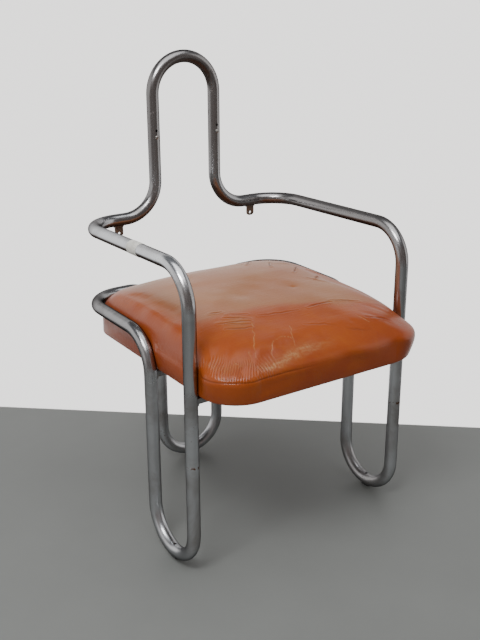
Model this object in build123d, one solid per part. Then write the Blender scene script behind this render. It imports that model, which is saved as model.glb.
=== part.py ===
from build123d import *
import os

# A tubular steel armchair with one round seat cushion, in millimetres.
# +Z is up and the chair faces -Y. The origin is on the floor, under the middle of the chair.
# Its frame is one closed run of bent tube, made as six bent lengths joined over inner sleeves.

# Frame tube
TUBE_OD = 25.0            # outside diameter
TUBE_WALL = 1.5           # wall thickness
BEND_R = 72.0             # centreline radius of every bend: one bending tool makes them all
HALF_TURN_R = BEND_R - 0.05   # two of these back to back make a U with a hair of straight between
LEG_X = 241.0             # centreline of the arms and legs, each side of the middle
RAIL_Y = 243.5            # centreline of the seat rail across the back
LOOP_Y = 238.5            # plane of the back loop and its shoulders
FRONT_Y = -170.5          # centreline of the front legs
REAR_LEG_Y = FRONT_Y + 2 * BEND_R  # rear leg of each side U

# Heights above the floor
GLIDE_H = 2.5             # tube above the floor, on its glides
FOOT_Z = GLIDE_H + TUBE_OD / 2
RAIL_Z = 425.5            # seat rail
SHOULDER_Z = 581.5        # shoulders and the back ends of the arms
ARM_FRONT_Z = 592.5       # the arms rise a little towards the front
LOOP_TOP_Z = 896.5        # top of the back loop

# Where the six lengths of tube meet
SHOULDER_JOINT_X = 156.0
LEG_JOINT_Z = 228.5
RAIL_JOINT_Y = 108.5
SLEEVE_LEN = 50.0
SLEEVE_WALL = 2.0

# Fixings for the missing back pad
LUG_X, LUG_Y = 162.0, LOOP_Y - 3.0
LUG_W, LUG_T, LUG_DROP = 18.0, 3.0, 21.0
LUG_HOLE_D, LUG_HOLE_UP = 6.0, 6.5     # hole, and its height above the lug's lower end
PAD_HOLE_D, PAD_HOLE_Z = 5.0, 755.0    # open hole in the front of each upright
PAD_SCREW_Z = 742.0
VENT_D = 6.0              # hole in the inner side of each U bend

# Cross bars under the seat
BAR_W, BAR_H, BAR_WALL = 16.0, 12.0, 1.5
BAR_TOP_Z = 361.0
WELD = 2.0
BOLT_X = 150.0            # seat bolts, each side of the middle
BOLT_D, BOLT_CLEAR_D, BOLT_REACH = 6.0, 6.8, 30.0

# Seat
SEAT_GAP = 1.5            # between the cover and the rail
SEAT_X = LEG_X - TUBE_OD / 2 - SEAT_GAP
SEAT_BACK_Y = RAIL_Y - TUBE_OD / 2 - SEAT_GAP
SEAT_FRONT_Y = -(RAIL_Y + TUBE_OD / 2)
SEAT_REAR_CORNER = BEND_R - TUBE_OD / 2 - SEAT_GAP
SEAT_FRONT_CORNER = 64.0
SEAT_TOP_Z, CROWN_R = 468.0, 1440.0
TOP_ROUND, BOTTOM_ROUND = 26.0, 7.0
LEATHER_T, HEM_T, HEM_W = 1.5, 1.2, 34.0
LINING_T, LINING_IN = 0.8, 18.0
BOARD_T, BOARD_IN = 12.0, 13.0
STAPLE_STEP, STAPLE_IN = 45.0, 24.0
STAPLE_W, STAPLE_WIRE, STAPLE_LEG = 10.0, 1.0, 6.0
LINING_Z = BAR_TOP_Z
HEM_Z = LINING_Z + LINING_T
BOARD_Z = HEM_Z + HEM_T

# Tape wound round the left arm
TAPE_T, TAPE_Y0, TAPE_Y1 = 0.4, -10.0, 25.0

SIDES = (("left", -1), ("right", 1))
BAR_YS = (("front", FRONT_Y), ("rear", REAR_LEG_Y))


def save(name, *solids):
    """Write one sub-part to its STEP file."""
    shape = solids[0] if len(solids) == 1 else Compound(children=list(solids))
    shape.label = name
    export_step(shape, f"parts/{name}.step")


def run(points, radii, radius):
    """A round bar along straight runs joined by tangent arcs."""
    path = FilletPolyline(*points, radius=radii)
    section = Plane(origin=path @ 0, z_dir=path % 0) * Circle(radius)
    return sweep(section, path=path).solids()[0]


def bent_tube(points, radii, wall=TUBE_WALL):
    """A bent tube, open at both ends."""
    return (run(points, radii, TUBE_OD / 2) - run(points, radii, TUBE_OD / 2 - wall)).solids()[0]


def pin(x, y, z, diameter, length, direction=(0, 0, 1)):
    """A round pin from a point along a direction."""
    plane = Plane(origin=(x, y, z), z_dir=direction)
    return extrude(plane * Circle(diameter / 2), amount=length).solids()[0]


def block(x0, x1, y0, y1, z0, z1):
    """A box between two corners."""
    size = (x1 - x0, y1 - y0, z1 - z0)
    return Pos((x0 + x1) / 2, (y0 + y1) / 2, (z0 + z1) / 2) * Box(*size)


# ---- routes of the six tubes: points and bend radii ----

LOOP_ROUTE = (
    [
        (-SHOULDER_JOINT_X, LOOP_Y, SHOULDER_Z),
        (-BEND_R, LOOP_Y, SHOULDER_Z),
        (-BEND_R, LOOP_Y, LOOP_TOP_Z),
        (BEND_R, LOOP_Y, LOOP_TOP_Z),
        (BEND_R, LOOP_Y, SHOULDER_Z),
        (SHOULDER_JOINT_X, LOOP_Y, SHOULDER_Z),
    ],
    [BEND_R, HALF_TURN_R, HALF_TURN_R, BEND_R],
)

REAR_ROUTE = (
    [
        (-LEG_X, RAIL_JOINT_Y, RAIL_Z),
        (-LEG_X, RAIL_Y, RAIL_Z),
        (-BEND_R, RAIL_Y, RAIL_Z),
        (-BEND_R, RAIL_Y, FOOT_Z),
        (BEND_R, RAIL_Y, FOOT_Z),
        (BEND_R, RAIL_Y, RAIL_Z),
        (LEG_X, RAIL_Y, RAIL_Z),
        (LEG_X, RAIL_JOINT_Y, RAIL_Z),
    ],
    [BEND_R, BEND_R, HALF_TURN_R, HALF_TURN_R, BEND_R, BEND_R],
)


def arm_route(side):
    """Shoulder, round the rear corner, along the arm and down the front leg."""
    x = side * LEG_X
    points = [
        (side * SHOULDER_JOINT_X, LOOP_Y, SHOULDER_Z),
        (x, LOOP_Y, SHOULDER_Z),
        (x, FRONT_Y, ARM_FRONT_Z),
        (x, FRONT_Y, LEG_JOINT_Z),
    ]
    return points, [BEND_R, BEND_R]


def side_route(side):
    """Down the front leg, round the foot, up the rear leg and back as the seat rail."""
    x = side * LEG_X
    points = [
        (x, FRONT_Y, LEG_JOINT_Z),
        (x, FRONT_Y, FOOT_Z),
        (x, REAR_LEG_Y, FOOT_Z),
        (x, REAR_LEG_Y, RAIL_Z),
        (x, RAIL_JOINT_Y, RAIL_Z),
    ]
    return points, [HALF_TURN_R, HALF_TURN_R, BEND_R]


def foot_centres():
    """The lowest point of each of the three U bends, in plan, and the way each U runs."""
    mid_y = (FRONT_Y + REAR_LEG_Y) / 2
    return [(-LEG_X, mid_y, "y"), (LEG_X, mid_y, "y"), (0, RAIL_Y, "x")]


# ---- frame ----

def drill_foot(tube, x, y):
    """The vent in the inner side of a U bend, and the hole below it for the glide's stem."""
    return tube - pin(x, y, FOOT_Z, VENT_D, TUBE_OD) - pin(x, y, 0, VENT_D, FOOT_Z)


def back_loop():
    """The hairpin that carried the back pad, with a screw hole in each upright."""
    tube = bent_tube(*LOOP_ROUTE)
    for _, side in SIDES:
        for z, diameter in ((PAD_HOLE_Z, PAD_HOLE_D), (PAD_SCREW_Z, 4.0)):
            tube -= pin(side * BEND_R, LOOP_Y, z, diameter, TUBE_OD, (0, -1, 0))
    return tube


def side_tube(side):
    """One side U, from the front leg's joint to the seat rail's joint."""
    x, y, _ = foot_centres()[0 if side < 0 else 1]
    return drill_foot(bent_tube(*side_route(side)), x, y)


def rear_tube():
    """The back of the seat rail, which drops in the middle as the rear U."""
    x, y, _ = foot_centres()[2]
    return drill_foot(bent_tube(*REAR_ROUTE), x, y)


def sleeve(x, y, z, direction):
    """A short inner tube, centred on a joint, that fills the bore of both lengths."""
    bore = TUBE_OD - 2 * TUBE_WALL
    plane = Plane(origin=(x, y, z), z_dir=direction).offset(-SLEEVE_LEN / 2)
    ring = Circle(bore / 2) - Circle(bore / 2 - SLEEVE_WALL)
    return extrude(plane * ring, amount=SLEEVE_LEN).solids()[0]


def joint_sleeves():
    """Six sleeves. The shoulder pair is shorter, because the straight there is short."""
    found = []
    for _, side in SIDES:
        x = side * LEG_X
        short = pin(side * (SHOULDER_JOINT_X - 12), LOOP_Y, SHOULDER_Z, 22, 24, (side, 0, 0))
        short -= pin(side * (SHOULDER_JOINT_X - 12), LOOP_Y, SHOULDER_Z, 18, 24, (side, 0, 0))
        found += [short.solids()[0]]
        found += [sleeve(x, FRONT_Y, LEG_JOINT_Z, (0, 0, 1))]
        found += [sleeve(x, RAIL_JOINT_Y, RAIL_Z, (0, 1, 0))]
    return found


def lug(x):
    """A flat tab under the shoulder, with a round lower end and one hole."""
    low = SHOULDER_Z - TUBE_OD / 2 - LUG_DROP
    plate = block(x - LUG_W / 2, x + LUG_W / 2, LUG_Y - LUG_T / 2, LUG_Y + LUG_T / 2, low, SHOULDER_Z)
    plate = fillet(plate.edges().filter_by(Axis.Y).group_by(Axis.Z)[0], 7)
    plate -= pin(x, LUG_Y - LUG_T, low + LUG_HOLE_UP, LUG_HOLE_D, 2 * LUG_T, (0, 1, 0))
    return plate - pin(x - LUG_W, LOOP_Y, SHOULDER_Z, TUBE_OD, 2 * LUG_W, (1, 0, 0))


def lug_weld(x):
    """The bead along the top of a lug."""
    half = LUG_W / 2 + 1.0
    bead = pin(x - half, LOOP_Y, SHOULDER_Z, TUBE_OD + 2 * WELD, 2 * half, (1, 0, 0))
    reach = LUG_T / 2 + WELD
    bead &= block(x - half, x + half, LUG_Y - reach, LUG_Y + reach, 0, SHOULDER_Z - 6)
    bead -= pin(x - 2 * half, LOOP_Y, SHOULDER_Z, TUBE_OD, 4 * half, (1, 0, 0))
    return (bead - lug(x)).solids()


def pad_screw(side):
    """A round-headed screw left in the front of an upright."""
    front = LOOP_Y - TUBE_OD / 2
    head = pin(side * BEND_R, front + 0.8, PAD_SCREW_Z, 8, 4.3, (0, -1, 0))
    head = fillet(head.edges().group_by(Axis.Y)[0], 2.5)
    shank = pin(side * BEND_R, front + 8, PAD_SCREW_Z, 4, 8, (0, -1, 0))
    seat = pin(side * BEND_R, LOOP_Y, PAD_SCREW_Z - 20, TUBE_OD, 40)
    return (head - seat + shank).solids()[0]


def leg_bar(y, radius):
    """Both tubes that a cross bar is welded between, as solid bars of a given radius."""
    bars = []
    for _, side in SIDES:
        if y == FRONT_Y:
            bars.append(pin(side * LEG_X, y, LEG_JOINT_Z, 2 * radius, 200))
        else:
            bars.append(run(*side_route(side), radius))
    return bars


def crossbar(y):
    """A flat-sided tube between a pair of legs, its ends cut round to fit them."""
    bar = block(-LEG_X, LEG_X, y - BAR_W / 2, y + BAR_W / 2, BAR_TOP_Z - BAR_H, BAR_TOP_Z)
    bar = fillet(bar.edges().filter_by(Axis.X), 2)
    t = BAR_WALL
    bar -= block(-LEG_X, LEG_X, y - BAR_W / 2 + t, y + BAR_W / 2 - t, BAR_TOP_Z - BAR_H + t, BAR_TOP_Z - t)
    for side in (-1, 1):
        bar -= pin(side * BOLT_X, y, BAR_TOP_Z - 2 * BAR_H, BOLT_CLEAR_D, 3 * BAR_H)
    for leg in leg_bar(y, TUBE_OD / 2):
        bar -= leg
    return max(bar.solids(), key=lambda s: s.volume)


def bar_welds(y):
    """The bead round both ends of a cross bar."""
    solid = block(-LEG_X, LEG_X, y - BAR_W / 2, y + BAR_W / 2, BAR_TOP_Z - BAR_H, BAR_TOP_Z + BAR_H)
    solid = fillet(solid.edges().filter_by(Axis.X).group_by(Axis.Z)[0], 2)
    w = BAR_W / 2 + WELD
    envelope = block(-LEG_X, LEG_X, y - w, y + w, BAR_TOP_Z - BAR_H - WELD, BAR_TOP_Z)
    beads = []
    for leg, fat in zip(leg_bar(y, TUBE_OD / 2), leg_bar(y, TUBE_OD / 2 + WELD)):
        bead = (fat & envelope) - solid - leg
        beads.append(max(bead.solids(), key=lambda s: s.volume))
    return beads


def glide(x, y, along):
    """A plastic saddle under a U bend, flat below, with a stem up into the tube."""
    long, wide, high = 22.0, 11.0, 3.8
    dx, dy = (long, wide) if along == "x" else (wide, long)
    saddle = block(x - dx / 2, x + dx / 2, y - dy / 2, y + dy / 2, 0, high)
    saddle = fillet(saddle.edges().filter_by(Axis.Z), 4)
    saddle = chamfer(saddle.edges().group_by(Axis.Z)[0], 0.6)
    if along == "x":
        saddle -= run(*REAR_ROUTE, TUBE_OD / 2)
    else:
        saddle -= run(*side_route(1 if x > 0 else -1), TUBE_OD / 2)
    stem = pin(x, y, 1, VENT_D - 0.4, 9)
    return (saddle + stem).solids()[0]


# ---- seat ----

def plan(inset):
    """The seat's outline seen from above: round corners, larger at the front."""
    x, front, back = SEAT_X - inset, SEAT_FRONT_Y + inset, SEAT_BACK_Y - inset
    sketch = Pos(0, (front + back) / 2) * Rectangle(2 * x, back - front)
    corners = sketch.vertices().group_by(Axis.Y)
    sketch = fillet(corners[-1], SEAT_REAR_CORNER - inset)
    return fillet(sketch.vertices().group_by(Axis.Y)[0], SEAT_FRONT_CORNER - inset)


def cushion(inset, base):
    """The cushion's solid from a base height up: a crowned top over round edges."""
    solid = extrude(Pos(0, 0, base) * plan(inset), amount=SEAT_TOP_Z - base)
    solid &= Pos(0, 0, SEAT_TOP_Z - CROWN_R) * Sphere(CROWN_R - inset)
    solid = fillet(solid.edges().group_by(Axis.Z)[0], BOTTOM_ROUND - inset)
    upper = [e for e in solid.edges() if e.center().Z > base + 60]
    return fillet(upper, TOP_ROUND - inset).solids()[0]


def slab(inset, base, thickness):
    """A flat sheet with the seat's outline."""
    return extrude(Pos(0, 0, base) * plan(inset), amount=thickness).solids()[0]


def bolt_holes(diameter, base, height):
    """A hole at each of the four seat bolts."""
    return [pin(s * BOLT_X, y, base, diameter, height) for s in (-1, 1) for _, y in BAR_YS]


def seat_board():
    """The plywood base, drilled for the tee nuts."""
    board = slab(BOARD_IN, BOARD_Z, BOARD_T)
    for hole in bolt_holes(8.2, BOARD_Z - 1, BOARD_T + 2):
        board -= hole
    return board


def tee_nut(x, y):
    """A tee nut: a thin flange on top of the board and a barrel down into it."""
    top = BOARD_Z + BOARD_T
    nut = pin(x, y, top, 19, 1.2) + pin(x, y, top - 9, 8, 9)
    return (nut - pin(x, y, top - 10, BOLT_D + 0.1, 12)).solids()[0]


def board_bolt(x, y):
    """A hexagon-headed bolt, up through the bar, the lining and the board."""
    under = BAR_TOP_Z - BAR_H - 1.5
    head = extrude(Plane(origin=(x, y, under), z_dir=(0, 0, -1)) * RegularPolygon(5.8, 6), amount=4)
    return (head + pin(x, y, under, BOLT_D, BOLT_REACH)).solids()[0]


def washer(x, y):
    """A flat washer under a bolt's head."""
    low = BAR_TOP_Z - BAR_H - 1.5
    return pin(x, y, low, 14, 1.5) - pin(x, y, low - 1, BOLT_D + 0.4, 4)


def seat_foam():
    """The foam, over the board and down round its edge."""
    foam = cushion(LEATHER_T, BOARD_Z) - slab(BOARD_IN, BOARD_Z, BOARD_T)
    for recess in bolt_holes(19.4, BOARD_Z, BOARD_T + 3):
        foam -= recess
    return max(foam.solids(), key=lambda s: s.volume)


def seat_cover():
    """The leather cover, pulled down over the foam and turned in under the board."""
    cover = cushion(0, HEM_Z) - cushion(LEATHER_T, BOARD_Z)
    return (cover - slab(HEM_W, HEM_Z - 1, HEM_T + 2)).solids()[0]


def seat_lining():
    """The thin cloth that closes the underside, with a hole for each bolt."""
    lining = slab(LINING_IN, LINING_Z, LINING_T)
    for hole in bolt_holes(BOLT_CLEAR_D, LINING_Z - 1, LINING_T + 2):
        lining -= hole
    return lining


def staple(x, y, turn):
    """A wire staple through the lining and the hem into the board."""
    low = LINING_Z - STAPLE_WIRE / 2
    half, wire = STAPLE_W / 2, STAPLE_WIRE
    body = block(-half, half, -wire / 2, wire / 2, 0, STAPLE_LEG)
    body -= block(-half + wire, half - wire, -wire, wire, wire / 2, STAPLE_LEG + 1)
    return (Pos(x, y, low) * Rot(0, 0, turn) * body).solids()[0]


def cover_staples():
    """A row of staples round the underside, clear of the cross bars."""
    x = SEAT_X - STAPLE_IN
    front, back = SEAT_FRONT_Y + STAPLE_IN, SEAT_BACK_Y - STAPLE_IN
    found = []
    for side in (-1, 1):
        y = front + SEAT_FRONT_CORNER
        while y < back - SEAT_REAR_CORNER:
            if all(abs(y - bar_y) > BAR_W / 2 + STAPLE_W for _, bar_y in BAR_YS):
                found.append(staple(side * x, y, 90))
            y += STAPLE_STEP
    count = int((x - SEAT_FRONT_CORNER) / STAPLE_STEP)
    for edge in (front, back):
        found += [staple(i * STAPLE_STEP, edge, 0) for i in range(-count, count + 1)]
    return found


def tape_band():
    """A band of tape round the left arm, along the arm's slight rise."""
    rise = (ARM_FRONT_Z - SHOULDER_Z) / (FRONT_Y - LOOP_Y)
    along = Vector(0, 1, rise).normalized()
    start = (-LEG_X, TAPE_Y0, SHOULDER_Z + (TAPE_Y0 - LOOP_Y) * rise)
    ring = Circle(TUBE_OD / 2 + TAPE_T) - Circle(TUBE_OD / 2)
    return extrude(Plane(origin=start, z_dir=along) * ring, amount=TAPE_Y1 - TAPE_Y0).solids()[0]


def main():
    """Build and write every sub-part."""
    os.makedirs("parts", exist_ok=True)
    save("tube_back_loop", back_loop())
    for name, side in SIDES:
        save(f"tube_arm_{name}", bent_tube(*arm_route(side)))
        save(f"tube_side_{name}", side_tube(side))
    save("tube_rear", rear_tube())
    save("joint_sleeves", *joint_sleeves())
    save("pad_lugs", *[lug(side * LUG_X) for _, side in SIDES])
    save("lug_welds", *[bead for _, side in SIDES for bead in lug_weld(side * LUG_X)])
    save("pad_screws", *[pad_screw(side) for _, side in SIDES])
    for name, y in BAR_YS:
        save(f"crossbar_{name}", crossbar(y))
    save("crossbar_welds", *[bead for _, y in BAR_YS for bead in bar_welds(y)])
    save("foot_glides", *[glide(*place) for place in foot_centres()])
    spots = [(s * BOLT_X, y) for s in (-1, 1) for _, y in BAR_YS]
    save("seat_bolts", *[board_bolt(*spot) for spot in spots])
    save("seat_washers", *[washer(*spot) for spot in spots])
    save("tee_nuts", *[tee_nut(*spot) for spot in spots])
    save("seat_board", seat_board())
    save("seat_foam", seat_foam())
    save("seat_cover", seat_cover())
    save("seat_lining", seat_lining())
    save("cover_staples", *cover_staples())
    save("arm_tape", tape_band())


if __name__ == "__main__":
    main()
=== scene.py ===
import math

import bpy
import numpy as np
from bpy.props import FloatProperty, FloatVectorProperty, PointerProperty
from mathutils import Matrix, Vector


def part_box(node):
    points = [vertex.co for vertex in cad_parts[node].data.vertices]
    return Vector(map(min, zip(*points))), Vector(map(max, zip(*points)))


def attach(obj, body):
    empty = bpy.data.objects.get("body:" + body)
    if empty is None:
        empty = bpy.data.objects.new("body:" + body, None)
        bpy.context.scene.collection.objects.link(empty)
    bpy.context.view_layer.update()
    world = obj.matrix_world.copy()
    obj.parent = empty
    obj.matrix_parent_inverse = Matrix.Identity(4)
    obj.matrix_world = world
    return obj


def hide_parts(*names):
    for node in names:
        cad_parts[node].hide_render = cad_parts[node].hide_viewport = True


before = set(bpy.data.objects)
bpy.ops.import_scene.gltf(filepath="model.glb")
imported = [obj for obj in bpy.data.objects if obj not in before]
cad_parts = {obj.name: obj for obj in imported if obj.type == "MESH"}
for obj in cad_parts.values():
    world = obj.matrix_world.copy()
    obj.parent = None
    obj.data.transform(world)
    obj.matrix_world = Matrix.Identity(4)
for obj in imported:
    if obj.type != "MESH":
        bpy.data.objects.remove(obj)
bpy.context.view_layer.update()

bl_info = {
    "name": "Tubular Armchair",
    "version": (1, 0, 0),
    "blender": (4, 5, 0),
    "location": "View3D > Sidebar > Armchair",
    "description": "Finishes the tubular armchair: worn chrome, leather seat and studio",
    "category": "Object",
}

BODY = "root"

# Sizes that come from the frame, in metres
SIDE_LOW, SIDE_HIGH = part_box("tube_side_right")
COVER_LOW, COVER_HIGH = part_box("seat_cover")
LINING_LOW, LINING_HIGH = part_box("seat_lining")
TUBE_R = (SIDE_HIGH.x - SIDE_LOW.x) / 2
BEND_R = 0.072             # centreline radius of the tube's bends
LEG_X = (SIDE_HIGH.x + SIDE_LOW.x) / 2
RAIL_Z = SIDE_HIGH.z - TUBE_R
RAIL_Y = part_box("tube_rear")[1].y - TUBE_R
FRONT_Y = SIDE_LOW.y + TUBE_R
REAR_LEG_Y = FRONT_Y + 2 * BEND_R
LEG_JOINT_Z = 0.2285       # where the front legs' upper and lower tubes meet


# ---------------------------------------------------------------- settings

COLOUR = {"subtype": "COLOR", "size": 3, "min": 0.0, "max": 1.0}
GLOW = {"subtype": "COLOR", "size": 3, "min": 0.0, "soft_max": 2.0}
LENGTH = {"subtype": "DISTANCE", "unit": "LENGTH", "min": 0.0}
POWER = {"unit": "POWER", "min": 0.0}


class ChairMetalSettings(bpy.types.PropertyGroup):
    """Colours and wear of the frame and its fixings."""

    chrome: FloatVectorProperty(
        name="Chrome", description="Colour of clean plate", default=(0.90, 0.93, 0.97), **COLOUR)
    tarnish: FloatVectorProperty(
        name="Tarnish", description="Tint of the thin film over all the plate, which darkens its edges",
        default=(0.62, 0.61, 0.605), **COLOUR)
    # Painted shade: a darker mirror colour for every face that looks down.
    underside_shade: FloatVectorProperty(
        name="Underside shade", description="Darker mirror colour of faces that look down, painted shade",
        default=(0.20, 0.175, 0.165), **COLOUR)
    film: FloatVectorProperty(
        name="Film", description="Colour of the dull brown film on old plate",
        default=(0.30, 0.25, 0.22), **COLOUR)
    rust: FloatVectorProperty(
        name="Rust", description="Colour of rust", default=(0.13, 0.055, 0.02), **COLOUR)
    polish: FloatProperty(
        name="Roughness", description="Roughness of clean plate", default=0.19, min=0.02, max=0.6)
    wear: FloatProperty(
        name="Wear", description="How much of the plate is filmed and spotted", default=0.6,
        subtype="FACTOR", min=0.0, max=1.0)


class ChairSeatSettings(bpy.types.PropertyGroup):
    """Shape and leather of the seat."""

    leather: FloatVectorProperty(
        name="Leather", description="Main colour of the hide", default=(0.40, 0.078, 0.009), **COLOUR)
    leather_light: FloatVectorProperty(
        name="Light leather", description="Colour of the lighter blotches",
        default=(0.47, 0.125, 0.008), **COLOUR)
    # Painted reflection: the pale wall's sheen on the top, painted into the leather's colour.
    leather_sheen: FloatVectorProperty(
        name="Leather sheen", description="Colour of the painted sheen, the pale wall's reflection on the top",
        default=(0.40, 0.185, 0.070), **COLOUR)
    # Also the colour of the painted shade low down, along the sides and at the front's right end.
    leather_dark: FloatVectorProperty(
        name="Dark leather", description="Colour of the darker blotches, and of the painted shade low on the sides",
        default=(0.25, 0.036, 0.011), **COLOUR)
    # Also the colour of the painted highlights on the front edge and on the wrinkles' tips.
    scuff_and_highlight: FloatVectorProperty(
        name="Scuff", description="Colour where the finish has worn away, and of the painted highlights",
        default=(0.60, 0.38, 0.17), **COLOUR)
    crown: FloatProperty(
        name="Crown", description="Scale of the top's fall from its peak to its edges",
        default=0.028, max=0.05, **LENGTH)
    bulge: FloatProperty(
        name="Bulge", description="How far the front stands proud between its corners",
        default=0.005, max=0.02, **LENGTH)
    swell: FloatProperty(
        name="Swell", description="Most that the stuffing may push the cover out",
        default=0.004, max=0.03, **LENGTH)
    pressure: FloatProperty(
        name="Pressure", description="Pressure of the stuffing", default=4.0, min=0.0, max=20.0)


class ChairStageSettings(bpy.types.PropertyGroup):
    """Floor, light and camera."""

    floor: FloatVectorProperty(
        name="Floor", description="Colour of the floor", default=(0.255, 0.265, 0.255), **COLOUR)
    wall: FloatVectorProperty(
        name="Wall", description="Brightness of the pale wall", default=(1.90, 1.87, 1.84), **GLOW)
    ceiling: FloatVectorProperty(
        name="Ceiling", description="Brightness overhead", default=(0.30, 0.30, 0.31), **GLOW)
    room: FloatVectorProperty(
        name="Room", description="Brightness of the dim room behind the camera",
        default=(0.165, 0.13, 0.115), **GLOW)
    room_light: FloatVectorProperty(
        name="Room, lighter", description="Brightness of the lighter things in the room",
        default=(0.52, 0.46, 0.44), **GLOW)
    key_power: FloatProperty(
        name="Key light", description="Power of the small bright light", default=26.0, **POWER)
    fill_power: FloatProperty(
        name="Fill light", description="Power of the large soft light", default=28.0, **POWER)
    low_power: FloatProperty(
        name="Low light", description="Power of the soft light low on the left", default=7.0, **POWER)
    lens: FloatProperty(
        name="Lens", description="Focal length", default=52.49, unit="CAMERA", min=10.0)


# ---------------------------------------------------------------- mesh helpers

def bare_mesh(name, points, faces):
    """A linked mesh object with no material."""
    mesh = bpy.data.meshes.new(name)
    mesh.from_pydata(points, [], faces)
    piece = bpy.data.objects.new(name, mesh)
    bpy.context.scene.collection.objects.link(piece)
    return piece


def dress(piece, material):
    """Smooth shading and one material for a whole piece."""
    mesh = piece.data
    mesh.polygons.foreach_set("use_smooth", np.ones(len(mesh.polygons), bool))
    mesh.materials.clear()
    mesh.materials.append(material)


def read_points(mesh):
    """A mesh's vertices as an (n, 3) array."""
    points = np.empty(len(mesh.vertices) * 3, np.float32)
    mesh.vertices.foreach_get("co", points)
    return points.reshape(-1, 3).astype(float)


def write_points(mesh, points):
    """Puts an (n, 3) array back into a mesh."""
    mesh.vertices.foreach_set("co", points.astype(np.float32).ravel())
    mesh.update()


def read_normals(mesh):
    """A mesh's vertex normals as an (n, 3) array."""
    normals = np.empty(len(mesh.vertices) * 3, np.float32)
    mesh.vertex_normals.foreach_get("vector", normals)
    return normals.reshape(-1, 3).astype(float)


def grid_faces(rows, columns, closed=False):
    """Quads of a grid of rows by columns points, closed round along its rows if asked."""
    r = np.arange(rows - 1)[:, None]
    c = np.arange(columns if closed else columns - 1)[None, :]
    beside = (c + 1) % columns
    quads = [r * columns + c, r * columns + beside, (r + 1) * columns + beside, (r + 1) * columns + c]
    return np.stack([q.ravel() for q in np.broadcast_arrays(*quads)], axis=1)


def step(values, low, high):
    """A smooth 0 to 1 rise of an array between two values."""
    t = np.clip((values - low) / (high - low), 0.0, 1.0)
    return t * t * (3.0 - 2.0 * t)


def lattice_noise(points, size, seed):
    """Smooth noise from -1 to 1: random values on a cubic lattice, blended with a smooth step."""
    cell = points / size
    base = np.floor(cell).astype(np.int64)
    part = cell - base
    part = part * part * (3.0 - 2.0 * part)
    total = np.zeros(len(points))
    for corner in range(8):
        offset = np.array([corner & 1, (corner >> 1) & 1, (corner >> 2) & 1])
        at = base + offset
        key = at[:, 0] * 73856093 ^ at[:, 1] * 19349663 ^ at[:, 2] * 83492791 ^ (seed * 2654435761)
        value = ((key * 1103515245 + 12345) & 0x7FFFFFFF) / 0x3FFFFFFF - 1.0
        weight = np.prod(np.where(offset, part, 1.0 - part), axis=1)
        total += value * weight
    return total


# ---------------------------------------------------------------- shader helpers

def connect(tree, node, inputs):
    """Sets a node's sockets by name or number, each from another socket, a number or a colour."""
    for key, value in inputs.items():
        socket = node.inputs[key]
        if isinstance(value, bpy.types.NodeSocket):
            tree.links.new(value, socket)
        elif socket.type == "RGBA" and len(value) == 3:
            socket.default_value = (*value, 1.0)
        else:
            socket.default_value = value


def add(tree, kind, inputs=None, **attributes):
    """A new node."""
    made = tree.nodes.new(kind)
    for key, value in attributes.items():
        setattr(made, key, value)
    connect(tree, made, inputs or {})
    return made


def noise(tree, where, scale, detail, **more):
    """The value of a noise texture."""
    return add(tree, "ShaderNodeTexNoise", {
        "Vector": where, "Scale": scale, "Detail": detail, **more}).outputs["Fac"]


def rise(tree, value, low, high, smooth=False, to=(0.0, 1.0)):
    """A rise of a value between two levels, from 0 to 1 unless told. low may lie above high."""
    return add(tree, "ShaderNodeMapRange", {
        "Value": value, "From Min": low, "From Max": high, "To Min": to[0], "To Max": to[1]},
        interpolation_type="SMOOTHSTEP" if smooth else "LINEAR").outputs["Result"]


def ramp(tree, factor, stops):
    """A colour ramp with (place, grey) stops."""
    made = add(tree, "ShaderNodeValToRGB", {"Fac": factor})
    band = made.color_ramp
    while len(band.elements) < len(stops):
        band.elements.new(0.5)
    for element, (place, grey) in zip(band.elements, stops):
        element.position = place
        element.color = (grey, grey, grey, 1.0)
    return made.outputs["Color"]


def vector_sum(tree, operation, first, second, output=0):
    """One step of vector arithmetic."""
    return add(tree, "ShaderNodeVectorMath", {0: first, 1: second}, operation=operation).outputs[output]


def sums(tree, operation, first, second=0.0, clamp=False):
    """One step of arithmetic."""
    return add(tree, "ShaderNodeMath", {
        0: first, 1: second}, operation=operation, use_clamp=clamp).outputs[0]


def total(tree, start, parts, clamp=True):
    """A start plus each mask times its weight, held between 0 and 1 if asked."""
    for mask, weight in parts:
        made = add(tree, "ShaderNodeMath", {0: mask, 1: weight, 2: start}, operation="MULTIPLY_ADD")
        start = made.outputs[0]
    made.use_clamp = clamp
    return start


def layers(tree, base, coats):
    """Colours laid over a base. Each coat is its mask, the mask's weight and its colour."""
    for mask, weight, over in coats:
        share = mask if weight == 1.0 else sums(tree, "MULTIPLY", mask, weight)
        made = add(tree, "ShaderNodeMix", {
            0: share, 6: base, 7: over}, data_type="RGBA", clamp_factor=True)
        base = made.outputs[2]
    return base


def bump(tree, height, distance, strength=1.0, under=None):
    """Turns a height into a normal. distance is in metres."""
    below = {} if under is None else {"Normal": under}
    return add(tree, "ShaderNodeBump", {
        "Height": height, "Distance": distance, "Strength": strength, **below}).outputs["Normal"]


def new_material(name):
    """A material with its tree, its Principled BSDF and its Object coordinates."""
    made = bpy.data.materials.new(name)
    made.use_nodes = True
    tree = made.node_tree
    tree.nodes.clear()
    shader = tree.nodes.new("ShaderNodeBsdfPrincipled")
    out = tree.nodes.new("ShaderNodeOutputMaterial")
    tree.links.new(shader.outputs[0], out.inputs["Surface"])
    where = tree.nodes.new("ShaderNodeTexCoord").outputs["Object"]
    return made, tree, shader, where


# ---------------------------------------------------------------- shared effects

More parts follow.
